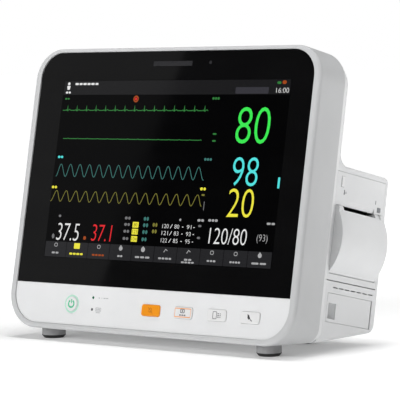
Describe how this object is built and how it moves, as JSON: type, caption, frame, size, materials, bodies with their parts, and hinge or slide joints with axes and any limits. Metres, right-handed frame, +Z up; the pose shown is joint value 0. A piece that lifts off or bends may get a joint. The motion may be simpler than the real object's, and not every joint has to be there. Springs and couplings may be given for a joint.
{
  "type": "patient monitor",
  "caption": "Bedside vital signs monitor: leaning touch display over a deeper case with strip printer, patient sockets, battery bay, folding handle and rubber feet.",
  "frame": {"origin": "on the floor, at the middle of the bounding box's footprint", "axes": "+Z up; the display faces -Y and leans back; +X is towards the strip printer, at the viewer's right"},
  "size_m": [0.339, 0.1594, 0.2673],
  "materials": {
    "white_shell": "fine matt texture",
    "panel_white": "satin",
    "key_orange": "satin",
    "key_white": "satin",
    "black_glass": "gloss, printed black behind",
    "smoke_lens": "translucent",
    "light_ring": "translucent",
    "led_lens": "translucent",
    "grey_plastic": "matt",
    "black_plastic": "matt",
    "rubber": "matt",
    "black_rubber": "matt",
    "clear_tube": "silicone",
    "circuit_board": "solder mask",
    "display": "gloss",
    "steel": "brushed",
    "chrome": "polished",
    "aluminium": "satin",
    "brass": "satin",
    "gear_plastic": "acetal",
    "ecg_green": "satin",
    "spo2_blue": "satin",
    "temp_brown": "satin",
    "battery_grey": "satin",
    "paper": "matt"
  },
  "bodies": {
    "monitor": {"front_bezel": "white_shell", "touch_glass": "black_glass", "alarm_lens": "smoke_lens", "sensor_lens": "smoke_lens", "alarm_board": "circuit_board", "lcd_module": "display", "lcd_bracket": "steel", "control_panel": "panel_white", "power_ring": "light_ring", "led_lenses": "led_lens", "key_board": "circuit_board", "rear_housing": "white_shell", "printer_fascia": "white_shell", "printer_frame": "black_plastic", "door_pin": "steel", "printer_motor": "steel", "print_head": "aluminium", "printer_board": "circuit_board", "battery_bay": "grey_plastic", "battery_pack": "battery_grey", "battery_door_pin": "steel", "connector_panel": "panel_white", "ecg_socket": "ecg_green", "spo2_socket": "spo2_blue", "temp_sockets": "temp_brown", "nibp_port": "chrome", "parameter_board": "circuit_board", "nibp_pump": "black_plastic", "air_tube": "clear_tube", "io_panel": "grey_plastic", "ac_inlet": "black_plastic", "ethernet_jack": "steel", "usb_ports": "steel", "ground_stud": "brass", "handle_pins": "steel", "speaker": "black_plastic", "chassis_plate": "aluminium", "main_board": "circuit_board", "power_board": "circuit_board", "mount_plate": "steel", "rubber_feet": "rubber", "foot_screws": "steel", "housing_screws": "steel"},
    "power_button": {"power_button": "key_white"},
    "silence_key": {"silence_key": "key_orange"},
    "pause_key": {"pause_key": "key_white"},
    "freeze_key": {"freeze_key": "key_white"},
    "record_key": {"record_key": "key_white"},
    "feed_button": {"feed_button": "key_white"},
    "door_release": {"door_release": "grey_plastic"},
    "printer_door": {"printer_door": "white_shell"},
    "platen": {"platen_shaft": "steel", "platen_roller": "black_rubber", "platen_gear": "gear_plastic"},
    "idler": {"idler_gear": "gear_plastic"},
    "motor_rotor": {"motor_gear": "brass"},
    "paper": {"paper_roll": "paper", "paper_core": "grey_plastic"},
    "battery_door": {"battery_door": "white_shell"},
    "carry_handle": {"carry_handle": "white_shell"}
  },
  "joints": [
    {"name": "power_press", "type": "slide", "parent": "monitor", "child": "power_button", "axis": [0, 0.9792, -0.2028], "range_m": [0, 0.0008], "stiffness_N_per_m": 600},
    {"name": "silence_press", "type": "slide", "parent": "monitor", "child": "silence_key", "axis": [0, 0.9792, -0.2028], "range_m": [0, 0.0008], "stiffness_N_per_m": 600},
    {"name": "pause_press", "type": "slide", "parent": "monitor", "child": "pause_key", "axis": [0, 0.9792, -0.2028], "range_m": [0, 0.0008], "stiffness_N_per_m": 600},
    {"name": "freeze_press", "type": "slide", "parent": "monitor", "child": "freeze_key", "axis": [0, 0.9792, -0.2028], "range_m": [0, 0.0008], "stiffness_N_per_m": 600},
    {"name": "record_press", "type": "slide", "parent": "monitor", "child": "record_key", "axis": [0, 0.9792, -0.2028], "range_m": [0, 0.0008], "stiffness_N_per_m": 600},
    {"name": "feed_press", "type": "slide", "parent": "monitor", "child": "feed_button", "axis": [-1, 0, 0], "range_m": [0, 0.0006], "stiffness_N_per_m": 600},
    {"name": "release_press", "type": "slide", "parent": "monitor", "child": "door_release", "axis": [-1, 0, 0], "range_m": [0, 0.0012], "stiffness_N_per_m": 600},
    {"name": "printer_door_hinge", "type": "hinge", "parent": "monitor", "child": "printer_door", "pos_m": [0.1576, 0.01827, 0.06449], "axis": [0, 0.9792, -0.2028], "range_deg": [0, 70]},
    {"name": "platen_spin", "type": "hinge", "parent": "printer_door", "child": "platen", "pos_m": [0.1555, 0.0279, 0.111], "axis": [0, 0.9792, -0.2028], "continuous": true},
    {"name": "idler_spin", "type": "hinge", "parent": "monitor", "child": "idler", "pos_m": [0.1445, 0.05659, 0.10506], "axis": [0, 0.9792, -0.2028], "continuous": true},
    {"name": "motor_spin", "type": "hinge", "parent": "monitor", "child": "motor_rotor", "pos_m": [0.13782, 0.05728, 0.10839], "axis": [0, 0.9792, -0.2028], "continuous": true},
    {"name": "paper_spin", "type": "hinge", "parent": "monitor", "child": "paper", "pos_m": [0.1475, 0.02156, 0.0878], "axis": [0, 0.9792, -0.2028], "continuous": true},
    {"name": "battery_door_hinge", "type": "hinge", "parent": "monitor", "child": "battery_door", "pos_m": [0.1575, 0.04433, 0.02712], "axis": [0, 0.2028, 0.9792], "range_deg": [0, 90]},
    {"name": "handle_swing", "type": "hinge", "parent": "monitor", "child": "carry_handle", "pos_m": [0, 0.02639, 0.23437], "axis": [1, 0, 0], "range_deg": [-8, 160]}
  ],
  "couplings": [
    {"joint": "idler_spin", "follows": "platen_spin", "ratio": -1.2},
    {"joint": "motor_spin", "follows": "platen_spin", "ratio": 2.4}
  ]
}
